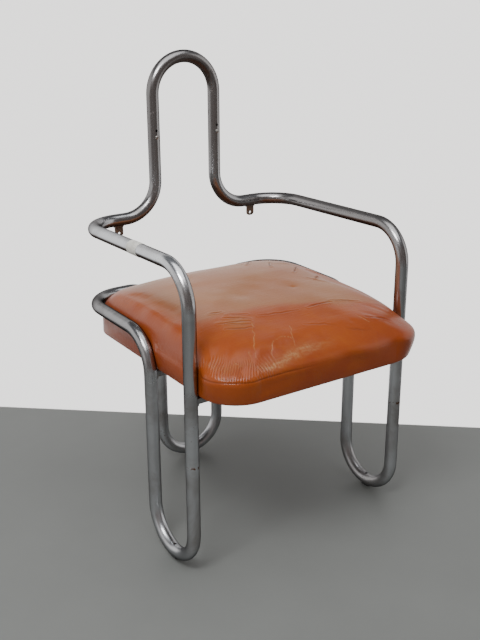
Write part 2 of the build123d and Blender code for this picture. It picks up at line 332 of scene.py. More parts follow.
def new_group(name, values, output):
    """A node group with a Vector input, number inputs with their defaults, and one output. Gives its
    tree, its inputs' sockets and its output's socket."""
    tree = bpy.data.node_groups.new(name, "ShaderNodeTree")
    tree.interface.new_socket("Vector", in_out="INPUT", socket_type="NodeSocketVector")
    for label, default in values.items():
        made = tree.interface.new_socket(label, in_out="INPUT", socket_type="NodeSocketFloat")
        made.default_value = default
    tree.interface.new_socket(output, in_out="OUTPUT", socket_type="NodeSocketFloat")
    given, put = tree.nodes.new("NodeGroupInput"), tree.nodes.new("NodeGroupOutput")
    return tree, given.outputs, put.inputs[output]


def shaken(tree, vector, scale, amount, **more):
    """A vector moved about by noise."""
    wobble = add(tree, "ShaderNodeTexNoise", {"Vector": vector, "Scale": scale, **more})
    way = vector_sum(tree, "MULTIPLY", wobble.outputs["Color"], (amount, amount, amount))
    return vector_sum(tree, "ADD", vector, way)


def in_patches(tree, given, mask, soft, detail, roughness):
    """A mask kept only where soft noise passes a level."""
    level = sums(tree, "SUBTRACT", 1.0, given["Amount"])
    patch = noise(tree, given["Vector"], given["Patch Scale"], detail, Roughness=roughness)
    kept = rise(tree, patch, level, sums(tree, "ADD", level, soft))
    return sums(tree, "MULTIPLY", mask, kept, clamp=True)


def blotch_group():
    """Soft uneven patches: layered noise, sharpened about a level."""
    tree, given, put = new_group("soft_blotches", {"Scale": 8.0, "Level": 0.5, "Softness": 0.2}, "Mask")
    value = noise(tree, given["Vector"], given["Scale"], 5.0, Roughness=0.6, Distortion=0.6)
    low = sums(tree, "SUBTRACT", given["Level"], given["Softness"])
    high = sums(tree, "ADD", given["Level"], given["Softness"])
    tree.links.new(rise(tree, value, low, high, smooth=True), put)
    return tree


def pit_group():
    """Small rust pits: cells of a Voronoi pattern, kept only where a soft patch allows them."""
    tree, given, put = new_group("rust_pits", {"Scale": 160.0, "Amount": 0.4, "Patch Scale": 9.0}, "Mask")
    moved = shaken(tree, given["Vector"], 240.0, 0.004, Detail=2.0)
    cells = add(tree, "ShaderNodeTexVoronoi", {"Vector": moved, "Scale": given["Scale"], "Randomness": 1.0})
    near = rise(tree, cells.outputs["Distance"], 0.34, 0.10)
    tree.links.new(in_patches(tree, given, near, 0.12, 4.0, 0.7), put)
    return tree


def scratch_group():
    """Fine scratches: noise stretched hard along one direction, thresholded to thin lines."""
    tree, given, put = new_group("fine_scratches", {"Scale": 900.0, "Stretch": 0.02, "Amount": 0.3}, "Mask")
    stretch = add(tree, "ShaderNodeCombineXYZ", {0: 1.0, 1: 1.0, 2: given["Stretch"]}).outputs[0]
    along = vector_sum(tree, "MULTIPLY", given["Vector"], stretch)
    value = noise(tree, along, given["Scale"], 3.0, Roughness=0.6)
    level = sums(tree, "SUBTRACT", 0.85, sums(tree, "MULTIPLY", given["Amount"], 0.4))
    tree.links.new(rise(tree, value, level, sums(tree, "ADD", level, 0.08)), put)
    return tree


def dust_group():
    """Dust on faces that look up: the normal's height, broken up by noise."""
    tree, given, put = new_group("settled_dust", {"Amount": 0.3, "Scale": 30.0}, "Mask")
    facing = add(tree, "ShaderNodeSeparateXYZ", {
        0: tree.nodes.new("ShaderNodeNewGeometry").outputs["Normal"]})
    up = rise(tree, facing.outputs["Z"], 0.2, 1.0)
    spread = rise(tree, noise(tree, given["Vector"], given["Scale"], 6.0, Roughness=0.7), 0.35, 0.7)
    both = sums(tree, "MULTIPLY", up, spread)
    tree.links.new(sums(tree, "MULTIPLY", both, given["Amount"], clamp=True), put)
    return tree


def crack_group():
    """Cracks in a dry finish: the edges of a wobbling Voronoi net, kept in soft patches."""
    tree, given, put = new_group(
        "finish_cracks", {"Scale": 30.0, "Width": 0.03, "Amount": 0.5, "Patch Scale": 7.0}, "Mask")
    moved = shaken(tree, given["Vector"], 45.0, 0.03, Detail=4.0, Roughness=0.6)
    net = add(tree, "ShaderNodeTexVoronoi", {
        "Vector": moved, "Scale": given["Scale"]}, feature="DISTANCE_TO_EDGE")
    line = rise(tree, net.outputs["Distance"], given["Width"], 0.0)
    tree.links.new(in_patches(tree, given, line, 0.10, 5.0, 0.65), put)
    return tree


def weave_group():
    """A plain weave: two crossed sine waves that take turns on top."""
    tree, given, put = new_group("plain_weave", {"Threads": 900.0}, "Height")
    scaled = add(tree, "ShaderNodeVectorMath", {
        0: given["Vector"], "Scale": given["Threads"]}, operation="SCALE")
    axes = add(tree, "ShaderNodeSeparateXYZ", {0: scaled.outputs[0]}).outputs
    crossed = sums(tree, "MULTIPLY", sums(tree, "SINE", axes["X"]), sums(tree, "SINE", axes["Y"]))
    tree.links.new(sums(tree, "MULTIPLY_ADD", crossed, 0.5), put)
    return tree


MAKERS = {
    "blotches": blotch_group, "pits": pit_group, "scratches": scratch_group,
    "dust": dust_group, "cracks": crack_group, "weave": weave_group,
}
SHARED = {}


def effect(tree, name, where, **values):
    """A shared effect placed in a material with its own values. Its group is built when first used."""
    if name not in SHARED:
        SHARED[name] = MAKERS[name]()
    made = tree.nodes.new("ShaderNodeGroup")
    made.node_tree = SHARED[name]
    tree.links.new(where, made.inputs["Vector"])
    for key, value in values.items():
        made.inputs[key.replace("_", " ").title()].default_value = value
    return made.outputs[0]


# ---------------------------------------------------------------- materials

# Where the plate changes, as the two ends of a soft edge, in metres
ABOVE_LEGS = (0.30, 0.42)      # heights
AT_ARMS = (0.50, 0.60)
AT_LOOP = (0.64, 0.72)
RIGHT_SIDE = (0.08, 0.20)      # across
LEFT_SIDE = (-0.20, -0.22)
FRONT_LEGS = (-0.13, -0.14)    # from back to front
WALL_WAY = (0.643, 0.766, 0.0)           # the way to the wall, level
WALL_AT = 0.380                          # how far from the middle of the chair it stands


def worn_chrome(settings):
    """Old chrome plate: clean metal under a thin tarnish, a dull brown film in patches, pits of rust and fine
    scratches. The back loop and the right arm are browner, the left arm is wiped clean by hands, the legs are
    duller, and specks of rust ring the legs' joints. Faces that look down get a darker, rougher mirror colour,
    which is painted shade."""
    made, tree, shader, where = new_material("worn_chrome")
    wear = settings.wear
    film = effect(tree, "blotches", where, scale=7.0, level=0.60, softness=0.14)
    pits = effect(tree, "pits", where, scale=170.0, amount=0.36 + 0.12 * wear, patch_scale=11.0)
    marks = effect(tree, "scratches", where, scale=700.0, stretch=0.04, amount=0.4)
    dust = effect(tree, "dust", where, amount=0.25, scale=60.0)
    place = add(tree, "ShaderNodeSeparateXYZ", {0: where}).outputs
    facing = add(tree, "ShaderNodeSeparateXYZ", {
        0: tree.nodes.new("ShaderNodeNewGeometry").outputs["Normal"]}).outputs
    above = rise(tree, place["Z"], *ABOVE_LEGS)
    arms = rise(tree, place["Z"], *AT_ARMS)
    loop = rise(tree, place["Z"], *AT_LOOP)
    right = sums(tree, "MULTIPLY", rise(tree, place["X"], *RIGHT_SIDE), arms)
    handled = sums(tree, "MULTIPLY", rise(tree, place["X"], *LEFT_SIDE), arms)
    legs = sums(tree, "SUBTRACT", 1.0, above)
    # Faces that look down: painted shade, a darker and rougher mirror colour.
    under = sums(tree, "MULTIPLY", rise(tree, facing["Z"], -0.02, -0.30), above)
    browner = sums(tree, "MULTIPLY", sums(tree, "MAXIMUM", loop, right), 0.42)
    filmed = sums(tree, "MAXIMUM", sums(tree, "MULTIPLY", film, wear), browner, clamp=True)
    off_joint = sums(tree, "ABSOLUTE", sums(tree, "SUBTRACT", place["Z"], LEG_JOINT_Z))
    specks = ramp(tree, noise(tree, where, 130.0, 3.0), [(0.50, 0.0), (0.60, 1.0)])
    ring = sums(tree, "MULTIPLY", rise(tree, off_joint, 0.0045, 0.001), specks)
    ring = sums(tree, "MULTIPLY", ring, rise(tree, place["Y"], *FRONT_LEGS))
    pits = sums(tree, "MAXIMUM", pits, ring)
    connect(tree, shader, {
        "Base Color": layers(tree, settings.chrome, [
            (filmed, 1.0, settings.film), (dust, 1.0, (0.42, 0.40, 0.37)),
            (under, 1.0, settings.underside_shade), (pits, 1.0, settings.rust)]),
        "Roughness": total(tree, settings.polish, [
            (filmed, 0.16), (under, 0.2), (legs, 0.10), (dust, 0.4), (marks, 0.12), (pits, 0.6)]),
        "Metallic": total(tree, 1.0, [(pits, -0.9)]),
        "Specular Tint": (0.12, 0.11, 0.11),
        "Coat Weight": total(tree, 1.0, [(handled, -0.8), (legs, -0.32)]),
        "Coat Tint": settings.tarnish,
        "Coat IOR": 1.02,
        "Coat Roughness": 0.3,
        "Normal": bump(tree, total(tree, 0.0, [(pits, 0.6), (marks, -0.4)], clamp=False), 0.00025, 0.6),
    })
    return made


def rusty_steel(name, settings, steel, amount, roughness):
    """Bare steel with rust over a share of it."""
    made, tree, shader, where = new_material(name)
    rust = effect(tree, "blotches", where, scale=55.0, level=1.0 - amount, softness=0.12)
    pits = effect(tree, "pits", where, scale=420.0, amount=0.55, patch_scale=40.0)
    grain = noise(tree, where, 900.0, 4.0)
    deep = layers(tree, settings.rust, [(grain, 1.0, (0.26, 0.12, 0.05))])
    rusted = sums(tree, "MAXIMUM", rust, pits)
    connect(tree, shader, {
        "Base Color": layers(tree, steel, [(rust, 1.0, deep), (pits, 1.0, (0.05, 0.025, 0.015))]),
        "Roughness": total(tree, roughness, [(rusted, 0.85 - roughness)]),
        "Metallic": total(tree, 1.0, [(rusted, -0.85)]),
        "Normal": bump(tree, total(tree, grain, [(rusted, 0.6)], clamp=False), 0.0004, 0.5),
    })
    return made


def moulded_plastic():
    """Black moulded plastic with a fine spark-eroded grain and scuffed dust."""
    made, tree, shader, where = new_material("glide_plastic")
    scuffs = effect(tree, "blotches", where, scale=120.0, level=0.6, softness=0.1)
    connect(tree, shader, {
        "Base Color": layers(tree, (0.045, 0.045, 0.044), [(scuffs, 1.0, (0.12, 0.115, 0.11))]),
        "Roughness": total(tree, 0.5, [(scuffs, 0.25)]),
        "Normal": bump(tree, noise(tree, where, 2200.0, 3.0), 0.0001, 0.5),
    })
    return made


def plywood():
    """Bare plywood: long stretched grain over a pale brown, with darker pores."""
    made, tree, shader, where = new_material("board_plywood")
    long_grain = add(tree, "ShaderNodeMapping", {"Vector": where, "Scale": (3.0, 40.0, 40.0)})
    rings = noise(tree, long_grain.outputs[0], 2.0, 8.0, Roughness=0.6, Distortion=1.2)
    plies = add(tree, "ShaderNodeTexWave", {
        "Vector": where, "Scale": 210.0, "Distortion": 0.4}, wave_type="BANDS", bands_direction="Z")
    connect(tree, shader, {
        "Base Color": layers(tree, (0.30, 0.17, 0.08), [
            (rings, 1.0, (0.58, 0.40, 0.22)), (plies.outputs["Fac"], 0.35, (0.2, 0.1, 0.05))]),
        "Roughness": 0.72,
        "Normal": bump(tree, rings, 0.0004, 0.6),
    })
    return made


def lining_cloth():
    """Thin black lining: a plain weave with lint and dust."""
    made, tree, shader, where = new_material("lining_cloth")
    lint = effect(tree, "blotches", where, scale=26.0, level=0.58, softness=0.16)
    connect(tree, shader, {
        "Base Color": layers(tree, (0.022, 0.021, 0.02), [(lint, 1.0, (0.075, 0.068, 0.06))]),
        "Roughness": 0.9,
        "Sheen Weight": 0.25,
        "Normal": bump(tree, effect(tree, "weave", where, threads=2600.0), 0.0003, 0.6),
    })
    return made


def tape_paper():
    """Off-white paper tape: fine crepe ridges across its width and grubby blotches."""
    made, tree, shader, where = new_material("paper_tape")
    ridged = add(tree, "ShaderNodeMapping", {"Vector": where, "Scale": (1.0, 9.0, 1.0)})
    grub = effect(tree, "blotches", where, scale=60.0, level=0.58, softness=0.2)
    connect(tree, shader, {
        "Base Color": layers(tree, (0.80, 0.79, 0.74), [(grub, 1.0, (0.62, 0.60, 0.54))]),
        "Roughness": 0.62,
        "Normal": bump(tree, noise(tree, ridged.outputs[0], 190.0, 3.0), 0.0003, 0.5),
    })
    return made


def aged_leather(settings):
    """Finished hide: pebble grain and fine parallel wrinkles, darker blotches and a few pale cracks. The masks
    worked out with the mesh say where the top carries a painted sheen, the pale wall's reflection; where
    creases, the fold and the wrinkles' valleys get painted shade; where the finish is rubbed pale, partly with
    a painted highlight; and where painted shade falls low down and at the sides."""
    made, tree, shader, where = new_material("aged_leather")
    cloud = effect(tree, "blotches", where, scale=5.0, level=0.56, softness=0.20)
    small = effect(tree, "blotches", where, scale=22.0, level=0.58, softness=0.16)
    cracks = effect(tree, "cracks", where, scale=15.0, width=0.014, amount=0.40, patch_scale=9.0)
    crazing = effect(tree, "cracks", where, scale=75.0, width=0.06, amount=0.42, patch_scale=11.0)
    painted_sheen, crease_shade, wear_and_highlight, shaded = (
        add(tree, "ShaderNodeAttribute", attribute_name=name).outputs["Fac"]
        for name in ("painted_sheen", "crease_shade", "wear_and_highlight", "shaded"))
    pores = add(tree, "ShaderNodeTexVoronoi", {"Vector": where, "Scale": 520.0}).outputs["Distance"]
    grain = noise(tree, where, 260.0, 6.0)
    turned = add(tree, "ShaderNodeMapping", {
        "Vector": where, "Rotation": (0.0, 0.0, 0.59), "Scale": (6.0, 55.0, 30.0)})
    lines = noise(tree, turned.outputs[0], 3.4, 3.0, Distortion=0.5)
    # Wear of the finish and painted highlights, broken up by the grain.
    broken = sums(tree, "MULTIPLY", wear_and_highlight, ramp(tree, grain, [(0.38, 0.35), (0.62, 0.85)]))
    under = bump(tree, total(tree, grain, [(pores, 0.5)], clamp=False), 0.0004, 0.30)
    under = bump(tree, lines, 0.0009, 0.35, under)
    opened = total(tree, 0.0, [(cracks, -1.0), (crazing, -0.5)], clamp=False)
    connect(tree, shader, {
        "Base Color": layers(tree, settings.leather, [
            (cloud, 0.50, settings.leather_dark), (small, 0.30, settings.leather_light),
            # Painted sheen on the top, then painted shade low down, at the sides and at the front's right end.
            (painted_sheen, 1.0, settings.leather_sheen), (shaded, 1.0, settings.leather_dark),
            # Painted shade: dark brown in the creases, along the fold and in the wrinkles' valleys.
            (crease_shade, 0.7, (0.075, 0.022, 0.010)), (broken, 1.0, settings.scuff_and_highlight),
            (cracks, 0.55, settings.scuff_and_highlight), (crazing, 0.30, (0.09, 0.03, 0.015))]),
        "Roughness": total(tree, 0.24, [(grain, 0.16), (broken, 0.15), (cracks, 0.3)]),
        "Normal": bump(tree, opened, 0.0005, 0.5, under),
    })
    return made


def studio_floor(settings):
    """The floor: painted concrete that ends along the line of the wall, fades out far away, and is
    not drawn from below."""
    made, tree, shader, where = new_material("studio_floor")
    mottle = noise(tree, where, 4.0, 8.0, Roughness=0.6)
    darker = tuple(0.80 * c for c in settings.floor)
    far = rise(tree, vector_sum(tree, "LENGTH", where, (0.0, 0.0, 0.0), "Value"), 2.4, 3.1, smooth=True)
    to_wall = vector_sum(tree, "DOT_PRODUCT", where, WALL_WAY, "Value")
    gone = sums(tree, "MAXIMUM", far, rise(tree, to_wall, WALL_AT, WALL_AT + 0.004))
    below = tree.nodes.new("ShaderNodeNewGeometry").outputs["Backfacing"]
    connect(tree, shader, {
        "Base Color": layers(tree, darker, [(mottle, 1.0, settings.floor)]),
        "Roughness": 0.5,
        "Alpha": sums(tree, "SUBTRACT", 1.0, sums(tree, "MAXIMUM", gone, below)),
    })
    return made


# ---------------------------------------------------------------- the seat

SIDE_GAP = 0.0008          # between leather and tube where they press together
HALF_X = COVER_HIGH.x + 0.0022
FRONT, BACK = COVER_LOW.y - 0.002, COVER_HIGH.y + 0.0005
BASE, TOP = COVER_LOW.z, COVER_HIGH.z
MIDDLE_Y = (FRONT + BACK) / 2
FRONT_CORNER, REAR_CORNER = 0.074, 0.047
LOW_ROUND = 0.005
SIDE_ROLL, FRONT_ROLL = 0.030, 0.052     # how wide the top edge rolls over
SIDE_TOP = 0.405           # where the upright side begins to roll over
PEAK_Y = 0.050             # the highest line of the top, behind the middle
KNEE, KNEE_SOFT = 0.163, 0.015   # where the worn front starts to slope, ahead of that line
FOLD_Z = 0.4075            # height of the long fold round the front
PLEAT_PITCH = 0.0057       # from one upright wrinkle to the next
COLUMNS, ROWS = 980, (16, 6, 26, 36, 104)            # of the leather
SKIN_COLUMNS, SKIN_ROWS = 240, (14, 5, 12, 15, 32)   # of the skin that the stuffing swells
SKIN_SIZE = 0.005          # between points of that skin once it is even
SWELL_FRAMES = 20


def seat_outline(count):
    """The seat's outline seen from above, as (count, 2) points: a circle's arc at each corner, its
    radius larger at the front, joined by straights. Arc centre, radius and angle are all linear
    along the length, so one interpolation of each gives straights and arcs alike. The points stand
    more than twice as close along the front, where the leather is wrinkled."""
    x = HALF_X
    f, r = FRONT_CORNER, REAR_CORNER
    centres = np.array([[x - f, FRONT + f], [x - r, BACK - r], [-x + r, BACK - r], [-x + f, FRONT + f]])
    radii = np.array([f, r, r, f])
    starts = np.array([-0.5, 0.0, 0.5, 1.0]) * math.pi
    angle = np.stack([starts, starts + math.pi / 2], axis=1).ravel()
    angle = np.append(angle, angle[0] + 2 * math.pi)
    centre = np.vstack([np.repeat(centres, 2, axis=0), centres[:1]])
    radius = np.append(np.repeat(radii, 2), radii[0])
    ends = centre + radius[:, None] * np.stack([np.cos(angle), np.sin(angle)], axis=1)
    chord = np.linalg.norm(np.diff(ends, axis=0), axis=1)
    chord[0::2] = radii * math.pi / 2
    along = np.concatenate([[0.0], np.cumsum(chord)])

    def place(at):
        a, rad = np.interp(at, along, angle), np.interp(at, along, radius)
        cx, cy = np.interp(at, along, centre[:, 0]), np.interp(at, along, centre[:, 1])
        return np.stack([cx + rad * np.cos(a), cy + rad * np.sin(a)], axis=1)

    even = np.linspace(0.0, along[-1], 4001)
    crowd = 1.0 + 1.5 * step(-place(even)[:, 1], -FRONT - 0.12, -FRONT - 0.05)
    passed = np.concatenate([[0.0], np.cumsum((crowd[1:] + crowd[:-1]) / 2)])
    return place(np.interp(np.linspace(0.0, passed[-1], count, endpoint=False), passed, even))


def top_height(x, y, crown):
    """Height of the stuffed top: its peak less these falls, which are in crowns. Ahead of the peak
    line it falls with the square of the distance, and past the knee by a steady slope as well, which
    a softened ramp brings in. Behind the line and to each side it falls by a power of the share of
    the way to the edge."""
    ahead = np.clip(PEAK_Y - y, 0.0, None)
    past_knee = KNEE_SOFT * np.log1p(np.exp((ahead - KNEE) / KNEE_SOFT))
    behind = np.clip((y - PEAK_Y) / (BACK - PEAK_Y), 0.0, 1.0)
    across = np.abs(x) / HALF_X
    fall = 0.12 * (ahead / 0.18) ** 2 + 4.85 * past_knee + 0.72 * behind ** 2.6 + 0.55 * across ** 3
    return TOP - crown * fall


def seat_surface(settings, around, rows):
    """The stuffed seat before its stuffing swells. Rings go from the middle of the underside out,
    round the lower edge, up the side, over the top edge and in to the middle of the top. A ring is
    the outline drawn in towards the middle by the profile's inset. The top edge rolls over on a
    quarter of an ellipse, which is wider along the front. rows is the number of rings of each."""
    under, lower, upright, rolled, inner = rows
    outline = seat_outline(around)
    centre = np.array([0.0, MIDDLE_Y])
    roll = SIDE_ROLL + (FRONT_ROLL - SIDE_ROLL) * step(-outline[:, 1], -FRONT - 0.10, -FRONT)
    flat_in = np.linspace(1.0, 0.06, under + 1)[1:] * HALF_X
    quarter = np.linspace(0.0, math.pi / 2, lower)
    low_in = LOW_ROUND * (1.0 - np.sin(quarter))
    low_z = BASE + LOW_ROUND * (1.0 - np.cos(quarter))
    side_z = np.linspace(BASE + LOW_ROUND, SIDE_TOP, upright + 2)[1:-1]
    turn = np.linspace(0.0, math.pi / 2, rolled)
    rest = np.linspace(0.0, 1.0, inner + 2)[1:-1]
    low = np.concatenate([flat_in, low_in, 0 * side_z])[:, None] + 0 * roll
    top = np.vstack([
        (1.0 - np.cos(turn))[:, None] * roll, roll + rest[:, None] * (HALF_X - roll)])
    inset = np.vstack([low, top])
    plan = centre + (outline - centre)[None] * (1.0 - inset / HALF_X)[..., None]
    low_height = np.concatenate([0 * flat_in + BASE, low_z, side_z])[:, None] + 0 * roll
    lift = np.concatenate([np.sin(turn), 0 * rest + 1.0])[:, None]
    on_top = plan[len(low):]
    over = top_height(on_top[..., 0], on_top[..., 1], settings.crown)
    height = np.vstack([low_height, SIDE_TOP + (over - SIDE_TOP) * lift])
    points = np.dstack([plan, height]).reshape(-1, 3)
    quads = grid_faces(len(height), around, closed=True)
    low_pole, top_pole = len(points), len(points) + 1
    peak = top_height(0.0, MIDDLE_Y, settings.crown)
    points = np.vstack([points, [[0.0, MIDDLE_Y, BASE], [0.0, MIDDLE_Y, peak]]])
    column = np.arange(around)
    following = (column + 1) % around
    low_fan = np.stack([following, column, 0 * column + low_pole], axis=1)
    last = (len(height) - 1) * around
    top_fan = np.stack([last + column, last + following, 0 * column + top_pole], axis=1)
    return side_bulge(points, settings.bulge), quads.tolist() + low_fan.tolist() + top_fan.tolist()


def side_bulge(points, bulge):
    """Pushes the side out in a hump over its height. The push is least along the rail, more across
    the front, and most round the front corners, where it goes straight out from the corner's centre."""
    x, y, z = points.T
    side = np.sign(x)
    up = np.sin(math.pi * np.clip((z - BASE) / (SIDE_TOP + 0.035 - BASE), 0.0, 1.0)) ** 0.9
    across = x - side * (HALF_X - FRONT_CORNER)
    ahead = y - (FRONT + FRONT_CORNER)
    in_corner = (across * side > 0) & (ahead < 0)
    reach = np.maximum(np.hypot(across, ahead), 1e-6)
    share = np.where(in_corner, -2.0 * across * side * ahead / reach ** 2, 0.0)
    corner = up * share * step(reach, FRONT_CORNER - 0.03, FRONT_CORNER) * bulge * 1.5
    free = step(-y, -FRONT_Y + 0.004, -FRONT_Y + 0.040) * step(np.abs(x), HALF_X - 0.05, HALF_X)
    front = step(-y, -FRONT - 0.03, -FRONT) * (1.0 - 0.4 * np.abs(x / HALF_X) ** 3)
    out = points.copy()
    out[:, 0] += corner * across / reach + side * up * free * bulge
    out[:, 1] += corner * ahead / reach - up * front * bulge * 0.7
    return out


def route(x, y, z):
    """Points from three coordinates, each an array or one number for all of them."""
    return np.stack(np.broadcast_arrays(x, y, z), axis=1)


def tube_centres():
    """Points along the frame's centrelines beside the seat: the rail with its bends, and the legs.
    They are closer together than the tube's radius is wide."""
    turn = np.linspace(0.0, math.pi / 2, 40)
    far = BEND_R * np.sin(turn)
    half = np.vstack([
        route(LEG_X, REAR_LEG_Y + BEND_R * (1 - np.cos(turn)), RAIL_Z - BEND_R + far),
        route(LEG_X, np.linspace(REAR_LEG_Y + BEND_R, RAIL_Y - BEND_R, 60), RAIL_Z),
        route(LEG_X - BEND_R + BEND_R * np.cos(turn), RAIL_Y - BEND_R + far, RAIL_Z),
        route(np.linspace(0.0, LEG_X - BEND_R, 60), RAIL_Y, RAIL_Z),
        route(LEG_X, FRONT_Y, np.linspace(BASE - 0.02, TOP + 0.02, 60)),
        route(LEG_X, REAR_LEG_Y, np.linspace(BASE - 0.02, RAIL_Z - BEND_R, 10)),
    ])
    return np.vstack([half, half * [-1.0, 1.0, 1.0]])


def clear_of_tubes(points):
    """Presses the leather in wherever a tube is nearer than its radius: each such point moves
    straight away from the nearest point of the tube's centreline."""
    centres = tube_centres()
    out = points.copy()
    near = (np.abs(points[:, 0]) > HALF_X - 0.012) | (points[:, 1] > BACK - 0.012)
    for index in np.array_split(np.nonzero(near)[0], 12):
        gap = points[index][:, None, :] - centres[None, :, :]
        distance = np.linalg.norm(gap, axis=2)
        closest = distance.argmin(axis=1)
        least = distance[np.arange(len(index)), closest]
        push = np.clip(TUBE_R + SIDE_GAP - least, 0.0, None)
        direction = gap[np.arange(len(index)), closest] / np.maximum(least, 1e-6)[:, None]
        out[index] += direction * push[:, None]
    return out


def swell(piece, settings):
    """Blows the seat up as its stuffing does: Cloth with pressure and no gravity, pinned under the
    board, with each point held to a short way from where it started."""
    mesh = piece.data
    before = read_points(mesh)
    pinned = piece.vertex_groups.new(name="pinned")
    pinned.add(np.nonzero(before[:, 2] < BASE + 0.004)[0].tolist(), 1.0, "REPLACE")
    cloth = piece.modifiers.new("stuffing", "CLOTH")
    cloth.settings.quality = 6
    cloth.settings.mass = 0.4
    cloth.settings.tension_stiffness = 25
    cloth.settings.compression_stiffness = 25
    cloth.settings.bending_stiffness = 2
    cloth.settings.use_pressure = True
    cloth.settings.uniform_pressure_force = settings.pressure
    cloth.settings.vertex_group_mass = "pinned"
    cloth.settings.effector_weights.gravity = 0.0
    scene = bpy.context.scene
    scene.frame_start, scene.frame_end = 1, SWELL_FRAMES
    for number in range(1, SWELL_FRAMES + 1):
        scene.frame_set(number)
    graph = bpy.context.evaluated_depsgraph_get()
    done = bpy.data.meshes.new_from_object(piece.evaluated_get(graph))
    move = read_points(done) - before
    piece.modifiers.remove(cloth)
    bpy.data.meshes.remove(done)
    scene.frame_set(1)
    length = np.linalg.norm(move, axis=1)
    kept = settings.swell * np.tanh(length / settings.swell)
    write_points(mesh, before + move * (kept / np.maximum(length, 1e-9))[:, None])


def finished_mesh(piece, modifier):
    """Applies a piece's one modifier."""
    graph = bpy.context.evaluated_depsgraph_get()
    mesh = bpy.data.meshes.new_from_object(piece.evaluated_get(graph))
    piece.modifiers.remove(modifier)
    old = piece.data
    piece.data = mesh
    bpy.data.meshes.remove(old)


def voxel_skin(piece, size):
    """Rebuilds a mesh as even quads."""
    remesh = piece.modifiers.new("skin", "REMESH")
    remesh.mode = "VOXEL"
    remesh.voxel_size = size
    finished_mesh(piece, remesh)


def stuffed_points(piece, settings):
    """The fine mesh's points, moved out by its stuffing: an even coarse skin of the same shape is
    swollen by cloth simulation, and the fine mesh is wrapped on to it. Most of any inward part of
    the move that this gives is taken back, since stuffing doesn't pull, and the rest is smoothed
    over neighbouring rings and columns before it is added."""
    before = read_points(piece.data)
    points, faces = seat_surface(settings, SKIN_COLUMNS, SKIN_ROWS)
    skin = bare_mesh("skin", points, faces)
    voxel_skin(skin, SKIN_SIZE)
    swell(skin, settings)
    wrap = piece.modifiers.new("wrap", "SHRINKWRAP")
    wrap.target = skin
    finished_mesh(piece, wrap)
    way = read_normals(piece.data)
    move = read_points(piece.data) - before
    inward = np.clip(-(move * way).sum(axis=1), 0.0, None)
    move = (move + 0.75 * inward[:, None] * way)[:-2].reshape(-1, COLUMNS, 3)
    for _ in range(14):
        move = (np.roll(move, 1, axis=1) + 2 * move + np.roll(move, -1, axis=1)) / 4
        padded = np.concatenate([move[:1], move, move[-1:]])
        move = (padded[:-2] + 2 * move + padded[2:]) / 4
    mesh = skin.data
    bpy.data.objects.remove(skin)
    bpy.data.meshes.remove(mesh)
    poles = [np.zeros(3), move[-1].mean(axis=0)]
    return before + np.vstack([move.reshape(-1, 3), poles])


# Creases in the top: both ends' x and y, half width and depth, in millimetres
CREASES = (
    (-152, -118, -96, -140, 1.5, 0.9), (-150, -141, -106, -160, 1.3, 1.0), (-130, -106, -90, -132, 1.3, 0.9),
    (-141, -129, -100, -151, 1.1, 0.8), (-118, -98, -84, -116, 1.2, 0.7), (-138, -74, -122, -82, 1.8, 0.8),
    (108, 161, 88, 140, 1.3, 1.7), (143, 136, 119, 95, 1.2, 1.6), (179, 83, 138, 39, 1.2, 1.5),
    (177, 8, 155, -14, 1.3, 1.4), (139, 0, 162, -46, 1.5, 0.8), (96, 176, 82, 160, 2.4, 0.8),
    (34, -141, 92, -137, 1.5, 0.8), (-70, -128, 12, -143, 1.3, 0.6), (96, -132, 150, -150, 1.5, 0.7),
    (150, 120, 186, 96, 1.6, 0.7), (186, 62, 205, 14, 1.8, 0.8), (-10, -190, 44, -212, 1.5, 0.5),
    (120, -208, 168, -224, 1.6, 0.8), (60, -224, 110, -236, 1.4, 0.6), (24, 190, 20, 170, 1.4, 0.6),
)
# Pale splits in the finish: the same, as strings of points
SPLITS = (
    (-97, -148, -108, -166), (-108, -166, -117, -184), (-117, -184, -136, -208), (-136, -208, -146, -232),
    (-117, -242, -113, -230), (-113, -230, -105, -219), (-105, -219, -94, -211), (-94, -211, -81, -207),
    (-81, -207, -69, -208), (-69, -208, -60, -213), (-60, -213, -56, -222), (-38, -180, -50, -206),
    (-50, -206, -62, -232),
    (92, -232, 78, -246), (104, -196, 118, -222), (-150, -214, -160, -238), (150, -196, 176, -206),
)
# Hollows and swells in the top: x and y, radius and depth, in millimetres
HOLLOWS = (
    (78, -37, 6.5, 1.6), (78, -37, 22, 0.9), (-44, -24, 26, 1.5), (2, -9, 20, 1.0), (-120, -128, 32, -1.3),
    (-60, -170, 40, 1.3), (60, -150, 46, -1.2), (150, -150, 44, 1.4), (-160, 80, 50, 1.0), (130, 60, 40, -1.0),
    (-90, -60, 24, 1.1), (20, 90, 50, -0.8), (110, -96, 26, 1.0),
)


def bell(away, width):
    """A bell curve, 1 at its middle."""
    return np.exp(-(away / width) ** 2)


def segment_gap(x, y, x0, y0, x1, y1):
    """Distance in plan from points to a straight piece of line, and the share of the way along it."""
    dx, dy = x1 - x0, y1 - y0
    share = np.clip(((x - x0) * dx + (y - y0) * dy) / (dx * dx + dy * dy), 0.0, 1.0)
    return np.hypot(x - x0 - share * dx, y - y0 - share * dy), share


